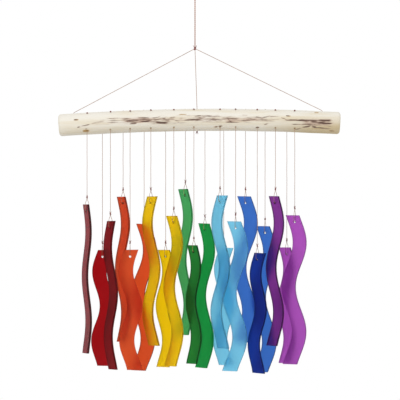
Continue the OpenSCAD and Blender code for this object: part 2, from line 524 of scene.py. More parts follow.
@dataclass(frozen=True)
class TiedKnot:
    """A barrel knot: turns of thread round a cord, one slanted turn over them, and short cut tails."""

    thread: float
    width: float
    height: float
    turns: float = 3.5
    tail: float = 0.0
    sides: int = 8
    steps_per_turn: int = 14
    coil_sink: float = 0.3
    slant_inset: float = 1.4
    tail_lean: float = math.radians(32.0)
    tail_side: float = 0.25
    tail_up: float = 0.4
    tail_tip: float = 0.35

    def add(self, bm: bmesh.types.BMesh, at: Vector, axis: Vector = UP, roll: float = 0.0) -> None:
        """Adds the knot to a mesh.

        Args:
            bm: the mesh.
            at: the knot's middle.
            axis: the direction of the cord through it.
            roll: its turn about that direction, in radians.
        """
        before = set(bm.verts)
        self._coil(bm)
        self._slanted_turn(bm)
        if self.tail:
            self._tails(bm)
        made = [v for v in bm.verts if v not in before]
        lean = axis.to_track_quat("Z", "Y").to_matrix() @ Matrix.Rotation(roll, 3, "Z")
        bmesh.ops.rotate(bm, verts=made, cent=(0.0, 0.0, 0.0), matrix=lean)
        bmesh.ops.translate(bm, verts=made, vec=at)
        faces = dict.fromkeys(f for v in made for f in v.link_faces)
        bmesh.ops.recalc_face_normals(bm, faces=list(faces))

    def _ring(self, bm: bmesh.types.BMesh, radius: float, low: float) -> list[bmesh.types.BMVert]:
        """Adds the thread's cross-section.

        Args:
            bm: the mesh.
            radius: its distance from the knot's axis.
            low: its height.

        Returns:
            The ring's vertices.
        """
        place = Matrix.Translation((radius, 0.0, low)) @ Matrix.Rotation(math.pi / 2, 4, "X")
        made = bmesh.ops.create_circle(bm, segments=self.sides, radius=self.thread / 2, matrix=place)
        return made["verts"]

    def _coil(self, bm: bmesh.types.BMesh) -> None:
        """Winds the turns round the cord."""
        rise = self.height - self.thread
        steps = round(self.turns * self.steps_per_turn)
        ring = self._ring(bm, (self.width - self.thread) / 2 - self.coil_sink * self.thread, -rise / 2)
        bmesh.ops.spin(
            bm,
            geom=ring_and_edges(ring),
            cent=(0.0, 0.0, 0.0),
            axis=UP,
            dvec=(0.0, 0.0, rise / steps),
            angle=2.0 * math.pi * self.turns,
            steps=steps,
        )
        bmesh.ops.holes_fill(bm, edges=[e for e in bm.edges if e.is_boundary], sides=self.sides)

    def _slanted_turn(self, bm: bmesh.types.BMesh) -> None:
        """Lays one turn slantwise over the coil."""
        before = set(bm.verts)
        ring = self._ring(bm, (self.width - self.thread) / 2, 0.0)
        steps = 2 * self.steps_per_turn
        bmesh.ops.spin(
            bm,
            geom=ring_and_edges(ring),
            cent=(0.0, 0.0, 0.0),
            axis=UP,
            angle=2.0 * math.pi,
            steps=steps,
            use_merge=True,
        )
        made = [v for v in bm.verts if v not in before]
        slant = math.atan2(self.height - self.slant_inset * self.thread, self.width)
        bmesh.ops.scale(bm, verts=made, vec=(1.0 / math.cos(slant), 1.0, 1.0))
        bmesh.ops.rotate(bm, verts=made, cent=(0.0, 0.0, 0.0), matrix=Matrix.Rotation(slant, 3, "Y"))

    def _tails(self, bm: bmesh.types.BMesh) -> None:
        """Adds the two cut ends."""
        for side in (-1.0, 1.0):
            lean = Matrix.Rotation(side * self.tail_lean, 4, "Y")
            foot = Vector((side * self.tail_side * self.width, 0.0, self.tail_up * self.height))
            place = Matrix.Translation(foot) @ lean @ Matrix.Translation((0.0, 0.0, self.tail / 2))
            bmesh.ops.create_cone(
                bm,
                cap_ends=True,
                segments=self.sides,
                radius1=self.thread / 2,
                radius2=self.tail_tip * self.thread,
                depth=self.tail,
                matrix=place,
            )


@dataclass(frozen=True)
class Mark:
    """A stretched mark on the branch, with sizes in millimetres.

    Attributes:
        x: its place along the branch.
        up: its height above the axis.
        half_length: half its length.
        half_height: half its height.
        rise: how fast it rises along the branch.
        strength: how strong it is, from 0 to 1.
        kind: what left it.
    """

    END = 1.6
    FAINT = 6.0

    x: float
    up: float
    half_length: float
    half_height: float
    rise: float
    strength: float
    kind: MarkKind = MarkKind.BARK

    def cover(self, x: float, up: float) -> float:
        """How much of the mark lies at a place.

        Args:
            x: the place along the branch, in millimetres.
            up: its height above the axis, in millimetres.

        Returns:
            A value from 0 to the mark's strength.
        """
        along = (x - self.x) / self.half_length
        if abs(along) > self.END:
            return 0.0
        across = (up - self.up - self.rise * (x - self.x)) / self.half_height
        reach = along * along * along * along + across * across
        return self.strength * math.exp(-reach) if reach < self.FAINT else 0.0


FRONT_MARKS = (
    Mark(-160.0, 5.7, 3.6, 1.3, 0.0, 0.85, MarkKind.TAN),
    Mark(-161.0, 5.6, 2.4, 0.8, 0.0, 0.55),
    Mark(-156.5, -4.2, 2.0, 0.9, 0.1, 0.50),
    Mark(-150.0, -3.3, 8.0, 0.8, 0.17, 0.32),
    Mark(-147.0, -10.0, 5.0, 2.0, 0.0, 0.85, MarkKind.TAN),
    Mark(-146.5, -7.4, 1.8, 0.9, 0.0, 0.50),
    Mark(-131.0, 0.4, 9.5, 0.8, 0.08, 0.52),
    Mark(-99.0, 4.3, 19.0, 0.8, -0.02, 0.50),
    Mark(-89.0, 4.0, 8.0, 0.9, -0.02, 0.62),
    Mark(-85.0, 0.9, 11.0, 0.9, 0.0, 0.62),
    Mark(-83.0, -3.2, 5.0, 1.1, 0.0, 0.90),
    Mark(-74.5, -1.6, 7.0, 2.0, -0.08, 0.95, MarkKind.BLUSH),
    Mark(-69.0, 3.7, 8.0, 1.1, 0.0, 0.56),
    Mark(-66.0, 1.2, 9.0, 1.8, 0.0, 0.44),
    Mark(-63.5, -0.4, 6.5, 1.1, 0.15, 0.80),
    Mark(-76.0, 0.8, 24.0, 4.4, 0.0, 0.90, MarkKind.BLUSH),
    Mark(-52.0, 4.2, 7.0, 0.9, 0.22, 0.36),
    Mark(-45.5, -3.0, 9.0, 0.9, -0.10, 0.66),
    Mark(-50.0, -2.5, 3.0, 0.9, -0.10, 0.85),
    Mark(-44.0, -4.7, 8.0, 0.7, -0.09, 0.52),
    Mark(-41.5, 2.5, 2.2, 1.0, 0.0, 0.62),
    Mark(-36.0, 0.8, 9.5, 0.8, 0.03, 0.64),
    Mark(-30.5, 3.7, 4.0, 0.8, 0.1, 0.44),
    Mark(-24.0, -2.0, 3.2, 0.8, -0.35, 0.66),
    Mark(-19.0, 1.3, 2.4, 0.7, 0.0, 0.50),
    Mark(-16.5, 7.2, 6.0, 1.1, 0.0, 0.75, MarkKind.TAN),
    Mark(-3.5, -0.2, 12.5, 0.9, 0.02, 0.92),
    Mark(3.0, 4.8, 5.5, 0.7, 0.16, 0.48),
    Mark(16.0, 5.0, 8.0, 0.8, -0.05, 0.34),
    Mark(24.0, -1.4, 14.0, 0.8, -0.05, 0.32),
    Mark(28.0, -9.8, 3.4, 1.0, 0.1, 0.70, MarkKind.TAN),
    Mark(28.5, -9.8, 2.0, 0.8, 0.1, 0.48),
    Mark(34.5, -8.6, 2.6, 1.0, 0.1, 0.56),
    Mark(50.0, 1.3, 8.5, 0.8, -0.04, 0.76),
    Mark(47.0, -1.8, 3.6, 1.6, -0.9, 0.56),
    Mark(55.0, -3.9, 6.0, 0.8, 0.08, 0.60),
    Mark(56.0, -1.0, 5.0, 1.0, -0.05, 0.50),
    Mark(52.0, -1.0, 15.0, 4.6, 0.0, 0.75, MarkKind.BLUSH),
    Mark(64.5, -1.5, 8.0, 0.8, 0.10, 0.48),
    Mark(76.0, 0.0, 9.0, 0.8, 0.05, 0.56),
    Mark(77.5, 1.5, 6.5, 0.8, -0.16, 0.56),
    Mark(75.0, 0.0, 14.0, 2.6, 0.02, 0.80, MarkKind.BLUSH),
    Mark(67.0, 6.3, 4.0, 0.6, 0.0, 0.36),
    Mark(84.5, -9.8, 2.4, 1.0, 0.0, 0.62),
    Mark(87.0, 3.2, 5.0, 0.7, -0.25, 0.48),
    Mark(96.0, 4.4, 5.0, 0.8, 0.24, 0.54),
    Mark(95.5, -5.8, 2.8, 0.9, 0.15, 0.58),
    Mark(108.0, 5.2, 9.0, 0.7, 0.0, 0.34),
    Mark(119.5, 2.8, 5.5, 0.8, -0.42, 0.62),
    Mark(126.0, 6.3, 3.6, 1.1, 0.0, 0.75, MarkKind.TAN),
    Mark(125.0, 6.4, 2.0, 0.9, 0.0, 0.62),
    Mark(131.0, 1.0, 9.0, 0.8, 0.02, 0.62),
    Mark(151.0, 1.6, 16.0, 1.2, 0.02, 0.95),
    Mark(160.0, 0.4, 6.0, 2.2, -0.10, 0.80),
    Mark(175.0, 2.4, 10.0, 1.7, 0.02, 0.85),
    Mark(173.0, -1.6, 10.5, 1.4, 0.0, 0.92),
    Mark(165.0, -0.6, 23.0, 5.2, 0.0, 0.80, MarkKind.BLUSH),
    Mark(170.0, -5.0, 15.0, 0.8, 0.02, 0.46),
    Mark(150.0, -4.6, 20.0, 0.7, 0.0, 0.40),
    Mark(172.0, -8.2, 12.0, 0.8, -0.03, 0.42),
    Mark(151.0, -2.1, 5.0, 1.5, 0.0, 0.90, MarkKind.BLUSH),
    Mark(140.0, -10.3, 4.5, 0.8, 0.25, 0.58),
    Mark(150.0, -7.4, 6.5, 1.0, 0.25, 0.72),
    Mark(160.0, -6.8, 3.0, 1.1, -0.2, 0.66),
    Mark(164.0, 12.5, 3.6, 1.1, 0.0, 0.75, MarkKind.TAN),
    Mark(184.5, -11.4, 4.5, 0.9, 0.0, 0.80, MarkKind.TAN),
    Mark(184.5, -11.4, 3.0, 0.7, 0.0, 0.45),
    Mark(165.0, -9.2, 9.0, 1.2, 0.05, 0.45, MarkKind.TAN),
    Mark(174.0, 5.8, 9.0, 1.0, 0.0, 0.35, MarkKind.BLUSH),
    Mark(-78.0, 0.6, 22.0, 4.0, 0.0, 0.34),
    Mark(-45.0, -0.6, 15.0, 5.0, 0.0, 0.30),
    Mark(53.0, -0.8, 16.0, 4.6, 0.0, 0.32),
    Mark(163.0, -0.6, 22.0, 4.4, 0.0, 0.34),
    Mark(-10.0, 0.5, 130.0, 5.5, 0.0, 0.24),
    Mark(-10.0, 0.0, 150.0, 5.0, 0.0, 0.40, MarkKind.BLUSH),
)


@dataclass
class Branch:
    """The peeled branch with its drilled holes."""

    MARKS = "marks"
    PITH = "pith"
    SHADE_WASH = "shade_wash"

    length: float = 380.0 * MM
    diameter: float = 30.0 * MM
    bow: float = 6.0 * MM
    crest_shift: float = 24.0 * MM
    shift: float = 6.0 * MM
    drop: float = 189.0 * MM
    end_round: float = 4.0 * MM
    hole_diameter: float = 1.8 * MM
    exit_angle: float = math.radians(48.0)
    mouth_angle: float = math.radians(24.0)
    bridle_feet: tuple[float, float, float] = (-164.0 * MM, 2.7 * MM, 172.0 * MM)
    bridle_exits: tuple[float, float, float] = (math.radians(48.0), 0.0, math.radians(48.0))
    segments: int = 160
    spacing: float = 1.4 * MM
    round_steps: int = 5
    end_rings: tuple[float, ...] = (0.82, 0.62, 0.42, 0.22)
    hole_segments: int = 20
    drill_proud: float = 3.6 * MM
    pith_shift: tuple[float, float] = (2.0 * MM, 1.5 * MM)
    lump: float = 0.35 * MM
    lump_size: tuple[float, float] = (28.0, 1.3)
    lump_sink: float = 0.3
    groove: float = 0.3 * MM
    fibre: float = 0.10 * MM
    fibre_size: tuple[float, float] = (70.0, 16.0)
    tan_spot: float = 1.5
    tan_strength: float = 0.7
    back_shift: float = 12.0
    back_scale: float = -0.8
    face_start: float = 0.4
    face_inset: float = 0.6
    on_axis: float = 0.001 * MM
    under_shade_level: float = 0.45
    under_shade_fall: float = 0.75
    right_wash_from: float = 90.0 * MM
    right_wash_over: float = 90.0 * MM
    under_shade_shares: Span = (0.24, 0.4)
    right_wash_share: float = 0.45
    right_wash_top: float = 0.8

    @property
    def radius(self) -> float:
        """Half the diameter."""
        return self.diameter / 2

    @property
    def bow_radius(self) -> float:
        """The radius of the bowed axis."""
        return ((self.length / 2) ** 2 + self.bow**2) / (2 * self.bow)

    @property
    def bow_centre(self) -> Vector:
        """The centre of the bowed axis."""
        return Vector((self.shift + self.crest_shift, 0.0, -self.drop - self.bow_radius))

    def axis_at(self, x: float) -> Vector:
        """The point of the axis at a place along the branch."""
        centre = self.bow_centre
        return Vector((x, 0.0, centre.z + math.sqrt(self.bow_radius**2 - (x - centre.x) ** 2)))

    def bow_angle(self, x: float) -> float:
        """How far the axis has turned at a place along the branch, in radians."""
        return math.asin((x - self.bow_centre.x) / self.bow_radius)

    def round_at(self, x: float, angle: float) -> Vector:
        """The place on the branch's side at an angle from its underside towards the back."""
        return self.axis_at(x) + self.radius * Vector((0.0, math.sin(angle), -math.cos(angle)))

    def mouth(self, x: float, row: Row) -> Vector:
        """Where a strand's hole starts, on top."""
        return self.round_at(x, row.value * (math.pi - self.mouth_angle))

    def exit(self, x: float, row: Row) -> Vector:
        """Where a strand's hole comes out, below."""
        return self.round_at(x, row.value * self.exit_angle)

    def build(self, strands: Sequence["Strand"]) -> bpy.types.Object:
        """Builds the branch.

        Args:
            strands: the strands, which give the places of the holes.

        Returns:
            The dressed branch.
        """
        made = make_object("peeled_branch", self._body())
        self._drill(made, strands)
        self._weather(made, strands)
        finish = PeeledWood()
        return dress(made, finish.material(), "beam", ["branch"])

    def _body(self) -> bmesh.types.BMesh:
        """Spins the round body along its bow and closes both ends.

        Returns:
            The closed body.
        """
        left = self.shift - self.length / 2 + self.end_round
        right = self.shift + self.length / 2 - self.end_round
        bm = bmesh.new()
        across = Matrix.Rotation(self.bow_angle(left) + math.pi / 2, 4, "Y")
        place = Matrix.Translation(self.axis_at(left)) @ across
        ring = bmesh.ops.create_circle(bm, segments=self.segments, radius=self.radius, matrix=place)["verts"]
        first = list(bm.edges)
        made = bmesh.ops.spin(
            bm,
            geom=ring + first,
            cent=self.bow_centre,
            axis=(0.0, 1.0, 0.0),
            angle=self.bow_angle(right) - self.bow_angle(left),
            steps=round((right - left) / self.spacing),
        )
        last = [e for e in made["geom_last"] if isinstance(e, bmesh.types.BMEdge)]
        for edges, x, side in ((first, left, -1.0), (last, right, 1.0)):
            turn = Matrix.Rotation(self.bow_angle(x), 3, "Y")
            self._close_end(bm, edges, self.axis_at(x), turn @ Vector((side, 0.0, 0.0)))
        bmesh.ops.recalc_face_normals(bm, faces=bm.faces)
        return bm

    def _close_end(
        self, bm: bmesh.types.BMesh, edges: list[bmesh.types.BMEdge], centre: Vector, outward: Vector
    ) -> None:
        """Rounds an end's edge and closes its face with rings.

        Args:
            bm: the mesh.
            edges: the open edge loop.
            centre: the loop's centre.
            outward: the direction out of the branch.
        """
        core = self.radius - self.end_round
        profile = [
            (core + self.end_round * math.cos(a), self.end_round * math.sin(a))
            for a in (math.pi / 2 * (i + 1) / self.round_steps for i in range(self.round_steps))
        ]
        profile += [(core * share, self.end_round) for share in self.end_rings]
        radius, out = self.radius, 0.0
        for next_radius, next_out in profile:
            made = bmesh.ops.extrude_edge_only(bm, edges=edges)["geom"]
            verts = [g for g in made if isinstance(g, bmesh.types.BMVert)]
            edges = [g for g in made if isinstance(g, bmesh.types.BMEdge)]
            shrink = next_radius / radius
            bmesh.ops.scale(bm, verts=verts, vec=(shrink,) * 3, space=Matrix.Translation(-centre))
            bmesh.ops.translate(bm, verts=verts, vec=(next_out - out) * outward)
            centre = centre + (next_out - out) * outward
            radius, out = next_radius, next_out
        bmesh.ops.edgeloop_fill(bm, edges=edges)

    def _drill(self, branch: bpy.types.Object, strands: Sequence["Strand"]) -> None:
        """Cuts the holes for the strands and the bridle cords.

        Args:
            branch: the solid branch, which gets the cut mesh.
            strands: the strands.
        """
        ways = [(self.exit(s.pivot.x, s.row), self.mouth(s.pivot.x, s.row)) for s in strands]
        for x, angle in zip(self.bridle_feet, self.bridle_exits):
            ways.append((self.round_at(x, angle), self.round_at(x, math.pi)))
        bm = bmesh.new()
        for low, high in ways:
            along = high - low
            place = Matrix.Translation((low + high) / 2) @ along.to_track_quat("Z", "Y").to_matrix().to_4x4()
            bmesh.ops.create_cone(
                bm,
                cap_ends=True,
                segments=self.hole_segments,
                radius1=self.hole_diameter / 2,
                radius2=self.hole_diameter / 2,
                depth=along.length + 2.0 * self.drill_proud,
                matrix=place,
            )
        drill = make_object("drill", bm)
        cut = branch.modifiers.new("holes", "BOOLEAN")
        cut.object = drill
        cut.operation = "DIFFERENCE"
        cut.solver = "EXACT"
        seen = branch.evaluated_get(bpy.context.evaluated_depsgraph_get())
        whole = branch.data
        branch.data = bpy.data.meshes.new_from_object(seen)
        branch.modifiers.clear()
        bpy.data.meshes.remove(whole)
        bpy.data.meshes.remove(drill.data)

    def _weather(self, branch: bpy.types.Object, strands: Sequence["Strand"]) -> None:
        """Shapes the surface and writes where its marks are.

        Args:
            branch: the drilled branch.
            strands: the strands, whose front holes have a tan stain.
        """
        low = -self.radius / MM * math.cos(self.exit_angle)
        spots = {row: [] for row in Row}
        for strand in strands:
            size, strength = self.tan_spot, self.tan_strength
            spot = Mark(strand.pivot.x / MM, low, size, size, 0.0, strength, MarkKind.TAN)
            spots[strand.row].append(spot)
        mesh = branch.data
        mesh.attributes.new(self.MARKS, "FLOAT_COLOR", "POINT")
        mesh.attributes.new(self.PITH, "FLOAT", "POINT")
        mesh.attributes.new(self.SHADE_WASH, "FLOAT", "POINT")
        marks, pith, shade_wash = (mesh.attributes[name] for name in (self.MARKS, self.PITH, self.SHADE_WASH))
        pith_place = Vector((0.0, *self.pith_shift))
        face_x = self.length / 2 - self.face_start * self.end_round
        face_radius = self.radius - self.face_inset * self.end_round
        for vertex in mesh.vertices:
            place = vertex.co.copy()
            axis = self.axis_at(place.x)
            out = place - axis
            out.x = 0.0
            reach = out.length
            pith.data[vertex.index].value = (out - pith_place).length
            # Painted shade: the wash that darkens and yellows the underside and the right end.
            shade_wash.data[vertex.index].value = self._age(place.x, out.z / self.radius)
            end = 1.0 if abs(place.x - self.shift) > face_x and reach < face_radius else 0.0
            row = Row.FRONT if place.y < 0.0 else Row.BACK
            cover = self._cover(place.x / MM, out.z / MM, row, spots[row])
            marks.data[vertex.index].color = (*cover, end)
            if reach > self.on_axis:
                vertex.co = place + out / reach * self._relief(place, out / reach, cover[0], 1.0 - end)

    def _age(self, x: float, up: float) -> float:
        """How much of the wash a place gets: darker and yellower along the underside, as painted shade
        partly over the wood's own yellowing, and towards the right end.

        Args:
            x: the place along the branch, in metres.
            up: its height above the axis, from -1 on the underside to 1 on top.

        Returns:
            A value from 0 to 1.
        """
        under = min(1.0, max(0.0, self.under_shade_level - self.under_shade_fall * up))
        right = min(1.0, max(0.0, (x - self.right_wash_from) / self.right_wash_over))
        plain, more = self.under_shade_shares
        side = self.right_wash_share * right * max(0.0, self.right_wash_top - up)
        return min(1.0, under * (plain + more * right) + side)

    def _cover(self, x: float, up: float, row: Row, spots: Iterable[Mark]) -> tuple[float, float, float]:
        """Adds up the marks at a place.

        Args:
            x: the place along the branch, in millimetres.
            up: its height above the axis, in millimetres.
            row: the side of the branch that it is on.
            spots: the stains round the holes on that side.

        Returns:
            How much bark, tan stain and blush is there.
        """
        total = [0.0, 0.0, 0.0]
        for mark in FRONT_MARKS:
            at_back = (self.back_shift - x, self.back_scale * up)
            cover = mark.cover(x, up) if row is Row.FRONT else mark.cover(*at_back)
            total[mark.kind.value] = max(total[mark.kind.value], cover)
        for spot in spots:
            total[spot.kind.value] = max(total[spot.kind.value], spot.cover(x, up))
        return tuple(total)

    def _relief(self, place: Vector, out: Vector, bark: float, side: float) -> float:
        """How far the surface stands out of a true round at a place.

        Args:
            place: the place.
            out: the direction out of the axis there.
            bark: how much bark is there.
            side: 1 on the branch's side, 0 on an end face.

        Returns:
            The height in metres.
        """
        (slow_x, slow_round), (fine_x, fine_round) = self.lump_size, self.fibre_size
        slow = noise.noise(Vector((place.x * slow_x, out.y * slow_round, out.z * slow_round)))
        fine = noise.noise(Vector((place.x * fine_x, out.y * fine_round, out.z * fine_round)))
        return side * (self.lump * (slow - self.lump_sink) + self.fibre * fine - self.groove * bark)


@dataclass
class Strand:
    """One hanging strand as the frame gives it.

    Attributes:
        number: its number, from 1 on the left.
        pivot: where its thread turns under the branch.
        hole: the middle of the hole in its glass.
        turn: the way that its glass faces, in radians from the front.
    """

    number: int
    pivot: Vector
    hole: Vector
    turn: float

    LOOP_LOW = -0.15 * MM

    @classmethod
    def from_frame(cls, number: int) -> "Strand":
        """Reads a strand from the frame.

        Args:
            number: the strand's number, from 1 on the left.

        Returns:
            The strand.
        """
        joint = next(j for j in frame["joints"] if j["name"] == f"cord_{number:02d}_swing")
        pivot = Vector(joint["pos_m"])
        low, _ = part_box(f"cord_{number:02d}")
        widest = max(frame["nodes"][f"strip_{number:02d}"].data.polygons, key=lambda p: p.area)
        facing = widest.normal if widest.normal.y < 0.0 else -widest.normal
        hole = Vector((pivot.x, pivot.y, low.z - cls.LOOP_LOW))
        return cls(number, pivot, hole, math.atan2(facing.x, -facing.y))

    @property
    def row(self) -> Row:
        """The row that the strand hangs in."""
        return Row.FRONT if self.pivot.y < 0.0 else Row.BACK

    @property
    def label(self) -> str:
        """The strand's number in two digits."""
        return f"{self.number:02d}"


@dataclass
class StrandThread:
    """The thread of a strand: down from the branch, through its knot, and in a loop through the glass."""

    strand: Strand
    material: bpy.types.Material
    knot_material: bpy.types.Material
    diameter: float = 0.6 * MM
    knot_up: float = 18.5 * MM
    leg_out: float = 2.5 * MM
    leg_top: float = 2.0 * MM
    leg_top_out: float = 0.2 * MM
    leg_bend: float = 0.6
    end_lap: float = 0.4 * MM
    loop_bottom: float = 0.2 * MM
    shoulder_up: float = 9.8 * MM
    kink: float = 0.10 * MM
    kink_spacing: float = 14.0 * MM
    kink_turns: tuple[float, float] = (2.4, 3.1)
    knot_width: float = 2.3 * MM
    knot_height: float = 3.6 * MM
    knot_tail: float = 2.0 * MM
    knot_roll: float = 1.3
    loop_steps: int = 8
    slot: str = "thin_cord"
    knot_slot: str = "knot_cord"

    def build(self) -> None:
        """Lays the thread and ties its knot."""
        label, body = self.strand.label, f"cord_{self.strand.label}"
        route = self._route()
        thread = lay_thread(f"thread_{label}", route, self.diameter)
        dress(thread, self.material, body, [f"cord_{label}"])
        bm = bmesh.new()
        turns = 3.0 + 0.5 * (self.strand.number % 2)
        knot = TiedKnot(self.diameter, self.knot_width, self.knot_height, turns, self.knot_tail)
        knot.add(bm, self.strand.hole + self.knot_up * UP, roll=self.knot_roll * self.strand.number)
        tied = dress(make_object(f"glass_knot_{label}", bm), self.knot_material, body)
        route_length(route)

    def _route(self) -> list[Vector]:
        """The points of the thread, from the branch to the knot, round the loop and back to the knot.

        Returns:
            The points in order.
        """
        hole, turn = self.strand.hole, self.strand.turn
        out = Vector((-math.sin(turn), math.cos(turn), 0.0))
        knot = hole + self.knot_up * UP
        free = self.strand.pivot.z - knot.z
        count = max(3, round(free / self.kink_spacing))
        route = [self.strand.pivot]
        for i in range(1, count):
            to_side, to_back = (turn_step * i for turn_step in self.kink_turns)
            bend = Vector((math.sin(to_side + self.strand.number), math.cos(to_back), 0.0))
            route.append(self.strand.pivot - free * i / count * UP + self.kink * bend)
        arc_up = self.loop_bottom + self.leg_out
        leg = [
            (self.leg_top_out, self.knot_up - self.leg_top),
            (self.leg_out, self.shoulder_up),
            (self.leg_out, self.leg_bend * self.shoulder_up),
        ]
        arc = [
            (self.leg_out * math.cos(a), arc_up - self.leg_out * math.sin(a))
            for a in (math.pi * i / self.loop_steps for i in range(self.loop_steps + 1))
        ]
        around = leg + arc + [(-side, up) for side, up in reversed(leg)]
        loop = [hole + side * out + up * UP for side, up in around]
        return route + [knot] + loop + [knot - self.end_lap * UP]


@dataclass
class GlassStrip:
    """A wavy strip of frosted glass with ground edges."""

    RIM = "rim"

    strand: Strand
    material: bpy.types.Material
    slot: str
    thickness: float = 3.2 * MM
    arris: float = 0.9 * MM
    arris_steps: int = 4
    rim_depth: float = 0.3 * MM
    same_plane: float = math.radians(0.05)
    sharp: float = math.radians(40.0)

    def build(self) -> None:
        """Copies the strip's solid, takes its edges off and dresses it."""
        node = f"strip_{self.strand.label}"
        bm = bmesh.new()
        bm.from_mesh(frame["nodes"][node].data)
        bmesh.ops.remove_doubles(bm, verts=bm.verts, dist=0.001 * MM)
        bmesh.ops.dissolve_limit(bm, angle_limit=self.same_plane, verts=bm.verts, edges=bm.edges)
        edges = [e for e in bm.edges if e.is_manifold and e.calc_face_angle() > self.sharp]
        bmesh.ops.bevel(
            bm,
            geom=edges,
            offset=self.arris,
            offset_type="OFFSET",
            segments=self.arris_steps,
            profile=0.5,
            affect="EDGES",
            clamp_overlap=True,
            material=-1,
        )
        self._mark_rim(bm)
        strip = make_object(f"glass_strip_{self.strand.label}", bm)
        flat = strip.modifiers.new("flat_faces", "WEIGHTED_NORMAL")
        flat.mode = "FACE_AREA"
        flat.weight = 100
        dress(strip, self.material, node, [node])

    def _mark_rim(self, bm: bmesh.types.BMesh) -> None:
        """Writes how deep each vertex lies below the nearer face, from 0 on it to 1 on the ground edge.

        Args:
            bm: the strip with its edges taken off.
        """
        facing = Vector((math.sin(self.strand.turn), -math.cos(self.strand.turn), 0.0))
        rim = bm.verts.layers.float.new(self.RIM)
        for vertex in bm.verts:
            depth = self.thickness / 2 - abs((vertex.co - self.strand.hole).dot(facing))
            vertex[rim] = min(1.0, max(0.0, depth / self.rim_depth))


@dataclass
class StopperKnots:
    """The stopper knots of one row, on top of the branch."""

    row: Row
    branch: Branch
    material: bpy.types.Material
    thread: float = 0.6 * MM
    width: float = 2.3 * MM
    height: float = 1.7 * MM
    sunk: float = 0.1 * MM
    turns: float = 2.5
    roll: float = 1.7
    slot: str = "knot_cord"

    def build(self, strands: Sequence[Strand]) -> None:
        """Ties a knot over each hole of the row.

        Args:
            strands: all strands.
        """
        bm = bmesh.new()
        knot = TiedKnot(self.thread, self.width, self.height, self.turns)
        for strand in (s for s in strands if s.row is self.row):
            mouth = self.branch.mouth(strand.pivot.x, self.row)
            out = (mouth - self.branch.axis_at(strand.pivot.x)).normalized()
            middle = mouth + (0.5 * self.height - self.sunk) * out
            knot.add(bm, middle, axis=out, roll=self.roll * strand.number)
        name = f"stopper_knots_{self.row.name.lower()}"
        dress(make_object(f"{name}_tied", bm), self.material, "beam", [name])


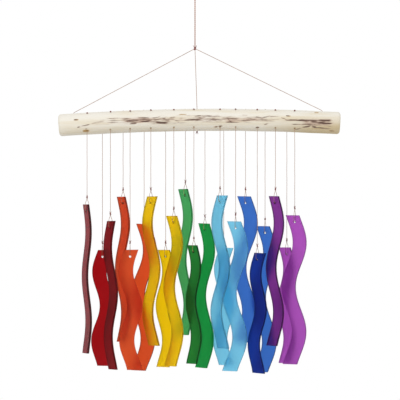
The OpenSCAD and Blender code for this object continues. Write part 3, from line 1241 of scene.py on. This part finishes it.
@dataclass
class Hanger:
    """What the chime hangs by: the hanging loop, the twisted riser, the apex knot and the bridle cords."""

    branch: Branch
    cord_material: bpy.types.Material
    thread_material: bpy.types.Material
    knot_material: bpy.types.Material
    loop_inner: float = 7.0 * MM
    loop_cord: float = 1.2 * MM
    loop_knot_drop: float = 23.0 * MM
    swing_drop: float = 26.4 * MM
    apex_drop: float = 92.7 * MM
    strand: float = 0.8 * MM
    twist: float = 5.5 * MM
    twist_steps: int = 14
    strand_sides: int = 10
    strand_out: float = 0.48
    riser_lap: float = 2.0 * MM
    loop_steps: int = 10
    bridle: float = 0.7 * MM
    bridle_start: float = 1.5 * MM
    bridle_end: float = 1.4 * MM
    bridle_steps: int = 10
    bend_start: float = 2.0 * MM
    bend_back: float = 0.3 * MM
    bend_in: float = 0.25 * MM
    bend_end: float = 1.5 * MM
    cord_slot: str = "hanging_cord"
    thread_slot: str = "thin_cord"
    knot_slot: str = "knot_cord"

    def build(self) -> None:
        """Builds the hanger from the loop down."""
        self._loop()
        self._riser()
        bm = bmesh.new()
        knot = TiedKnot(self.strand, width=3.6 * MM, height=4.4 * MM, turns=3.5, tail=3.0 * MM)
        knot.add(bm, -self.apex_drop * UP)
        dress(make_object("apex_tie", bm), self.knot_material, "apex", ["apex_knot"])
        sides = ("left", "centre", "right")
        for side, x, angle in zip(sides, self.branch.bridle_feet, self.branch.bridle_exits):
            self._bridle(side, x, angle)

    def _loop(self) -> None:
        """Bends the hanging loop and ties its knot."""
        across = self.loop_inner + self.loop_cord / 2
        knot = -self.loop_knot_drop * UP
        arc = [
            Vector((across * math.cos(a), 0.0, across * math.sin(a) - self.loop_inner))
            for a in (math.pi * i / self.loop_steps for i in range(self.loop_steps + 1))
        ]
        sides = [knot.lerp(arc[0], share) for share in (0.0, 0.3, 0.65)]
        back = [Vector((-p.x, 0.0, p.z)) for p in reversed(sides)]
        route = sides + arc + back
        loop = lay_thread("hanging_loop_cord", route, self.loop_cord)
        dress(loop, self.cord_material, "hook_loop", ["hang_loop"])
        bm = bmesh.new()
        TiedKnot(self.loop_cord, width=4.0 * MM, height=4.2 * MM, turns=2.5).add(bm, knot)
        tied = dress(make_object("hanging_loop_knot", bm), self.cord_material, "hook_loop")
        route_length(route)

    def _riser(self) -> None:
        """Twists the riser's two strands round each other."""
        top, low = -self.swing_drop * UP, -(self.apex_drop - self.riser_lap) * UP
        length = (top - low).length
        steps = round(length / self.twist * self.twist_steps)
        bm = bmesh.new()
        for side in (-1.0, 1.0):
            place = Matrix.Translation(low + Vector((side * self.strand_out * self.strand, 0.0, 0.0)))
            sides, radius = self.strand_sides, self.strand / 2
            ring = bmesh.ops.create_circle(bm, segments=sides, radius=radius, matrix=place)["verts"]
            bmesh.ops.spin(
                bm,
                geom=ring_and_edges(ring),
                cent=(0.0, 0.0, 0.0),
                axis=UP,
                dvec=UP * length / steps,
                angle=2.0 * math.pi * length / self.twist,
                steps=steps,
            )
        ends = [e for e in bm.edges if e.is_boundary]
        bmesh.ops.holes_fill(bm, edges=ends, sides=self.strand_sides)
        bmesh.ops.recalc_face_normals(bm, faces=bm.faces)
        riser = make_object("riser_twist", bm)
        dress(riser, self.cord_material, "riser", ["riser_cord"])
        2.0 * self.strand

    def _bridle(self, side: str, x: float, angle: float) -> None:
        """Lays a bridle cord from the apex into the branch, and ties its stopper knot below.

        Args:
            side: the cord's side, for its name.
            x: its foot along the branch.
            angle: where it comes out, round the branch from its underside towards the back.
        """
        top, low = self.branch.round_at(x, math.pi), self.branch.round_at(x, angle)
        down = (low - top).normalized()
        apex = -self.apex_drop * UP
        foot = top - self.bridle * down
        lead = (foot - apex).normalized()
        start = apex + self.bridle_start * lead
        under = low + self.bridle_end * down
        steps = self.bridle_steps
        leg = [start.lerp(foot - self.bend_start * lead, i / steps) for i in range(steps + 1)]
        bend = [foot - self.bend_back * lead + self.bend_in * down, foot + self.bend_end * down]
        route = leg + bend + [bend[-1].lerp(under, share) for share in (0.3, 0.65, 1.0)]
        cord = lay_thread(f"bridle_thread_{side}", route, self.bridle)
        dress(cord, self.thread_material, "beam", [f"bridle_{side}"])
        bm = bmesh.new()
        knot = TiedKnot(self.bridle, width=2.6 * MM, height=2.5 * MM, turns=2.5, tail=2.0 * MM)
        knot.add(bm, under, axis=down, roll=x / MM)
        tied = dress(make_object(f"bridle_knot_{side}", bm), self.knot_material, "beam")
        route_length(route)


@dataclass
class Studio:
    """The white studio: world, lamps, floor and the camera at the photograph's place."""

    view_centre: Vector = field(default_factory=lambda: Vector((6.76 * MM, 0.0, -297.4 * MM)))
    view_width: float = 540.8 * MM
    distance: float = 4.0
    sensor: float = 36.0
    floor_z: float = -1.0
    floor_radius: float = 2.0
    floor_segments: int = 96
    sky: float = 0.62
    bounces: int = 20

    def build(self) -> None:
        """Sets up the studio."""
        scene = bpy.context.scene
        scene.view_settings.view_transform = "Standard"
        scene.cycles.max_bounces = self.bounces
        scene.cycles.transmission_bounces = self.bounces
        self._camera(scene)
        self._world(scene)
        self._lamp("key_lamp", Vector((-0.9, -1.5, 0.75)), size=1.3, power=13.0)
        self._lamp("fill_lamp", Vector((1.3, -1.2, 0.1)), size=1.0, power=5.0)
        self._floor()

    def _camera(self, scene: bpy.types.Scene) -> None:
        """Puts the camera level in front of the chime."""
        camera = bpy.data.cameras.new("view")
        camera.sensor_fit = "HORIZONTAL"
        camera.sensor_width = self.sensor
        camera.lens = self.sensor * self.distance / self.view_width
        holder = bpy.data.objects.new("view", camera)
        holder.location = self.view_centre - Vector((0.0, self.distance, 0.0))
        holder.rotation_euler = (math.pi / 2, 0.0, 0.0)
        scene.collection.objects.link(holder)
        scene.camera = holder

    def _world(self, scene: bpy.types.Scene) -> None:
        """Makes a world that looks white and lights the chime softly."""
        world = bpy.data.worlds.new("studio")
        scene.world = world
        graph = Graph(world)
        kinds = ("Camera", "Glossy", "Transmission")
        rays = [graph.node("ShaderNodeLightPath", output=f"Is {kind} Ray") for kind in kinds]
        seen = rays[0].greater(rays[1]).greater(rays[2])
        white = (1.0, 1.0, 1.0, 1.0)
        shade = graph.node("ShaderNodeBackground", inputs={"Color": white, "Strength": self.sky})
        plain = graph.node("ShaderNodeBackground", inputs={"Color": white, "Strength": 1.0})
        both = graph.node("ShaderNodeMixShader", inputs={0: seen, 1: shade, 2: plain})
        graph.node("ShaderNodeOutputWorld", inputs={"Surface": both})

    def _lamp(self, name: str, place: Vector, size: float, power: float) -> None:
        """Hangs a soft lamp that faces the chime.

        Args:
            name: the lamp's name.
            place: where it hangs.
            size: the side of its square.
            power: its power in watts.
        """
        lamp = bpy.data.lights.new(name, "AREA")
        lamp.size = size
        lamp.energy = power
        holder = bpy.data.objects.new(name, lamp)
        holder.location = place
        holder.rotation_euler = (self.view_centre - place).to_track_quat("-Z", "Y").to_euler()
        holder.visible_glossy = False
        holder.visible_transmission = False
        bpy.context.scene.collection.objects.link(holder)

    def _floor(self) -> None:
        """Lays the pale floor."""
        bm = bmesh.new()
        place = Matrix.Translation((0.0, 0.0, self.floor_z))
        sides, radius = self.floor_segments, self.floor_radius
        bmesh.ops.create_circle(bm, cap_ends=True, segments=sides, radius=radius, matrix=place)
        floor = make_object("floor", bm)
        made = bpy.data.materials.new("pale_floor")
        graph = Graph(made)
        tint = graph.mix(graph.noise((3.0, 3.0, 3.0)), (0.84, 0.84, 0.83), (0.88, 0.88, 0.87))
        graph.finish(graph.node("ShaderNodeBsdfPrincipled", inputs={"Base Color": tint, "Roughness": 0.9}))
        floor.data.materials.append(made)


RED = FrostedGlass("glass_red", (0.42, 0.002, 0.006))
# The same red glass for the first strip, with a paler, pinker colour that paints in the sheen of its grazing
# face, besides its real glossy reflection.
RED_SHEEN = FrostedGlass("glass_red", (0.40, 0.012, 0.030), name="frosted_red_sheen", gloss_level=0.75, roughness=0.56)
# A darker copy of the same red glass for the third strip: painted shade.
RED_SHADED = FrostedGlass("glass_red", (0.36, 0.002, 0.010), name="frosted_red_shaded")
ORANGE = FrostedGlass("glass_orange", (0.78, 0.110, 0.024))
YELLOW = FrostedGlass("glass_yellow", (0.96, 0.68, 0.002), rim_shade=0.35)
SEA_GREEN = FrostedGlass("glass_green", (0.10, 0.51, 0.18), name="frosted_sea", rim_shade=0.35)
GREEN = FrostedGlass("glass_green", (0.022, 0.34, 0.058))
EMERALD = FrostedGlass("glass_green", (0.014, 0.41, 0.092), name="frosted_emerald")
LIGHT_BLUE = FrostedGlass("glass_light_blue", (0.26, 0.68, 0.88), rim_shade=0.5)
BLUE = FrostedGlass("glass_blue", (0.066, 0.22, 0.66))
DEEP_BLUE = FrostedGlass("glass_deep_blue", (0.011, 0.058, 0.42))
# A darker copy of the same purple glass for strip 19: painted shade.
PURPLE_SHADED = FrostedGlass("glass_purple", (0.34, 0.062, 0.42), name="frosted_purple_shaded")
PURPLE = FrostedGlass("glass_purple", (0.52, 0.125, 0.59))
STRIP_GLASS = (
    (RED_SHEEN, RED, RED_SHADED)
    + (ORANGE, ORANGE, ORANGE)
    + (YELLOW, YELLOW, YELLOW)
    + (SEA_GREEN, GREEN, EMERALD)
    + (LIGHT_BLUE, LIGHT_BLUE, LIGHT_BLUE)
    + (BLUE, DEEP_BLUE, BLUE)
    + (PURPLE_SHADED, PURPLE, PURPLE)
)

HANGING_CORD = TwistedThread("hanging_cord", (0.58, 0.26, 0.13), (0.34, 0.12, 0.06), plies_per_metre=600.0)
THIN_CORD = TwistedThread("thin_cord", (0.50, 0.29, 0.17), (0.26, 0.13, 0.08))
KNOT_CORD = TwistedThread("knot_cord", (0.36, 0.09, 0.07), (0.12, 0.022, 0.018))


def main() -> None:
    """Builds the chime from its hanger down."""
    logging.basicConfig(level=logging.INFO, format="%(message)s")
    Studio().build()
    strands = [Strand.from_frame(number + 1) for number in range(STRAND_COUNT)]
    branch = Branch()
    thread, knot = THIN_CORD.material(), KNOT_CORD.material()
    Hanger(branch, HANGING_CORD.material(), thread, knot).build()
    for strand in strands:
        StrandThread(strand, thread, knot).build()
    branch.build(strands)
    for row in Row:
        StopperKnots(row, branch, knot).build(strands)
    glass = {finish: finish.material() for finish in dict.fromkeys(STRIP_GLASS)}
    for strand, finish in zip(strands, STRIP_GLASS):
        GlassStrip(strand, glass[finish], finish.slot).build()


if __name__ == "__main__":
    main()
